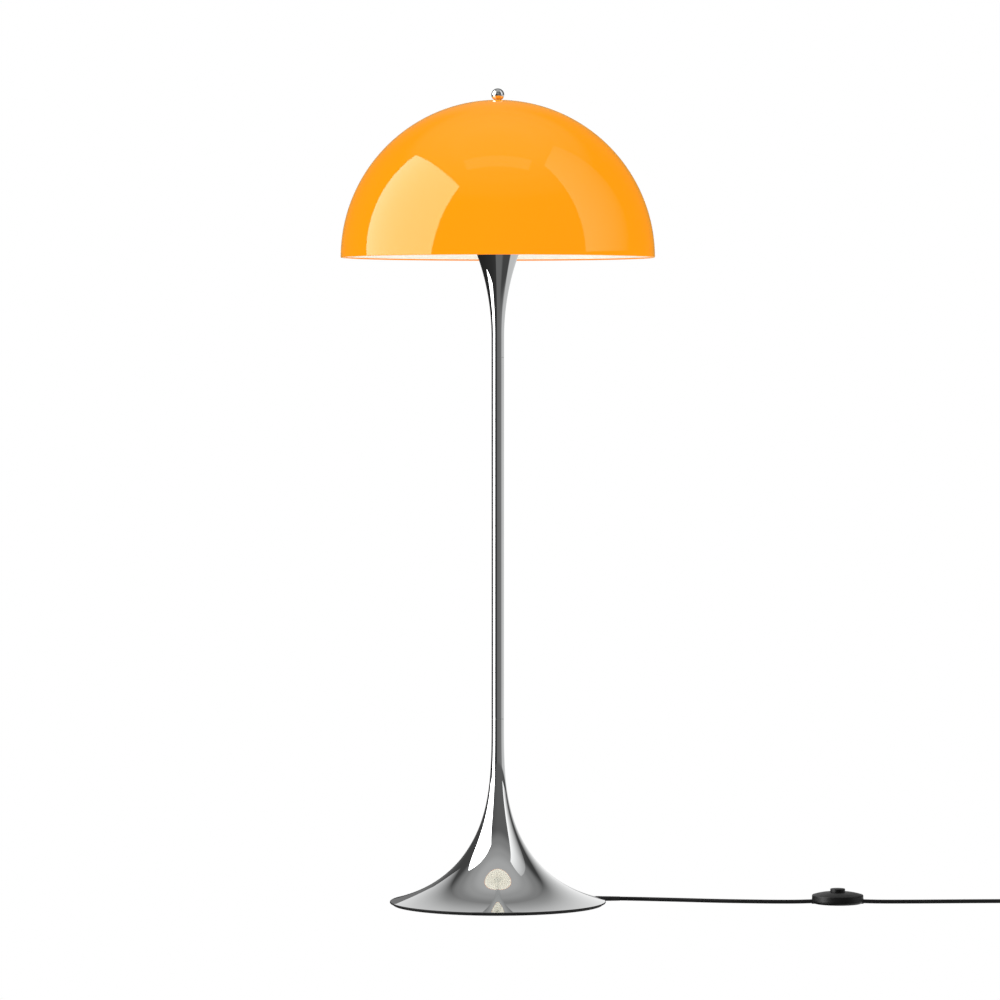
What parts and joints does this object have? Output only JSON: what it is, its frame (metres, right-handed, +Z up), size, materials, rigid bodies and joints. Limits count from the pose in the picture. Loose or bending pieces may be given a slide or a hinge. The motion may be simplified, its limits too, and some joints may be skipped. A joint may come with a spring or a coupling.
{
  "type": "mushroom floor lamp",
  "caption": "Floor lamp with a trumpet foot, a slim chromed column flaring into a glossy half-sphere shade with a ball finial, and a cord with a foot switch.",
  "frame": {"origin": "centre of the foot on the floor", "axes": "+Z up along the column, +X towards the side where the cord leaves, +Y to the back"},
  "size_m": [1.1714, 0.5, 1.3003],
  "materials": {
    "chrome": "bright nickel-chrome plating, polished",
    "cast_iron": "rough grey casting, thin black primer",
    "black_steel": "fine-texture black powder coat",
    "floor_rubber": "matte black rubber",
    "zinc_steel": "bright zinc plating",
    "flex_sheath": "smooth semi-matte black cord sheath",
    "clamp_plastic": "natural nylon",
    "brass": "turned brass",
    "white_steel": "white enamel",
    "seat_rubber": "soft clear-white washer",
    "holder_plastic": "white moulded lamp-holder plastic",
    "holder_ceramic": "glazed white insulating core",
    "cap_nickel": "rolled nickel-plated cap",
    "black_glass": "black vitrite insulator",
    "bulb_plastic": "white thermoplastic",
    "opal": "opal white, satin",
    "orange_gloss": "high-gloss orange outside, bright white inside",
    "switch_plastic": "matte black moulded plastic, fine spark texture",
    "spring_steel": "drawn spring wire",
    "plug_plastic": "matte black moulded plug plastic",
    "pin_metal": "nickel-plated pins"
  },
  "bodies": {
    "stand": {"foot_trumpet": "chrome", "foot_ballast": "cast_iron", "base_cover": "black_steel", "floor_ring": "floor_rubber", "cover_screws": "zinc_steel", "cord_gland": "floor_rubber", "cord_anchor": "clamp_plastic", "anchor_screws": "zinc_steel", "flex_inner": "flex_sheath", "tie_rod": "zinc_steel", "rod_bottom_washer": "zinc_steel", "rod_bottom_nut": "zinc_steel", "lower_spigot": "brass", "column_tube": "chrome", "upper_spigot": "brass", "upper_flare": "chrome", "holder_plate": "white_steel", "rod_top_washer": "zinc_steel", "rod_top_nut": "zinc_steel", "shade_carrier": "white_steel", "carrier_screws": "zinc_steel", "carrier_nuts": "zinc_steel", "carrier_stud": "zinc_steel", "seat_washer": "seat_rubber", "holder_cap": "holder_plastic", "holder_core": "holder_ceramic", "holder_sleeve": "brass", "holder_contacts": "brass", "holder_shell": "holder_plastic", "flex_lamp_side": "flex_sheath", "switch_base": "switch_plastic", "switch_cover": "switch_plastic", "switch_spring": "spring_steel", "switch_unit": "clamp_plastic", "switch_terminals": "brass", "switch_bushes": "floor_rubber", "switch_screws": "zinc_steel", "switch_feet": "floor_rubber", "flex_plug_side": "flex_sheath", "flex_coil": "flex_sheath", "flex_tail": "flex_sheath", "plug_boot": "plug_plastic", "plug_body": "plug_plastic", "plug_pins": "pin_metal", "plug_pin_sleeves": "plug_plastic"},
    "bulb_base": {"bulb_contact": "pin_metal", "bulb_insulator": "black_glass", "bulb_cap": "cap_nickel"},
    "bulb_top": {"bulb_housing": "bulb_plastic", "bulb_globe": "opal"},
    "shade_cap": {"shade": "orange_gloss", "finial_washer": "seat_rubber"},
    "finial_core": {"finial_insert": "brass"},
    "finial_knob": {"finial_ball": "chrome"},
    "foot_button": {"switch_button": "switch_plastic"}
  },
  "joints": [
    {"name": "switch_press", "type": "slide", "parent": "stand", "child": "foot_button", "axis": [0, 0, -1], "range_m": [0, 0.003], "stiffness_N_per_m": 900, "springref_m": -0.003, "deforming": ["switch_spring"]},
    {"name": "shade_lift", "type": "slide", "parent": "stand", "child": "shade_cap", "axis": [0, 0, 1], "range_m": [0, 0.28]},
    {"name": "finial_rise", "type": "slide", "parent": "shade_cap", "child": "finial_core", "axis": [0, 0, 1], "range_m": [0, 0.0061]},
    {"name": "finial_turn", "type": "hinge", "parent": "finial_core", "child": "finial_knob", "pos_m": [0, 0, 1.2901], "axis": [0, 0, 1], "range_deg": [0, 2160]},
    {"name": "bulb_rise", "type": "slide", "parent": "stand", "child": "bulb_base", "axis": [0, 0, 1], "range_m": [0, 0.00917]},
    {"name": "bulb_turn", "type": "hinge", "parent": "bulb_base", "child": "bulb_top", "pos_m": [0, 0, 1.2], "axis": [0, 0, 1], "range_deg": [0, 900]}
  ],
  "couplings": [
    {"joint": "finial_rise", "follows": "finial_turn", "m_per_rad": 0.00015915},
    {"joint": "bulb_rise", "follows": "bulb_turn", "m_per_rad": 0.00057757}
  ]
}
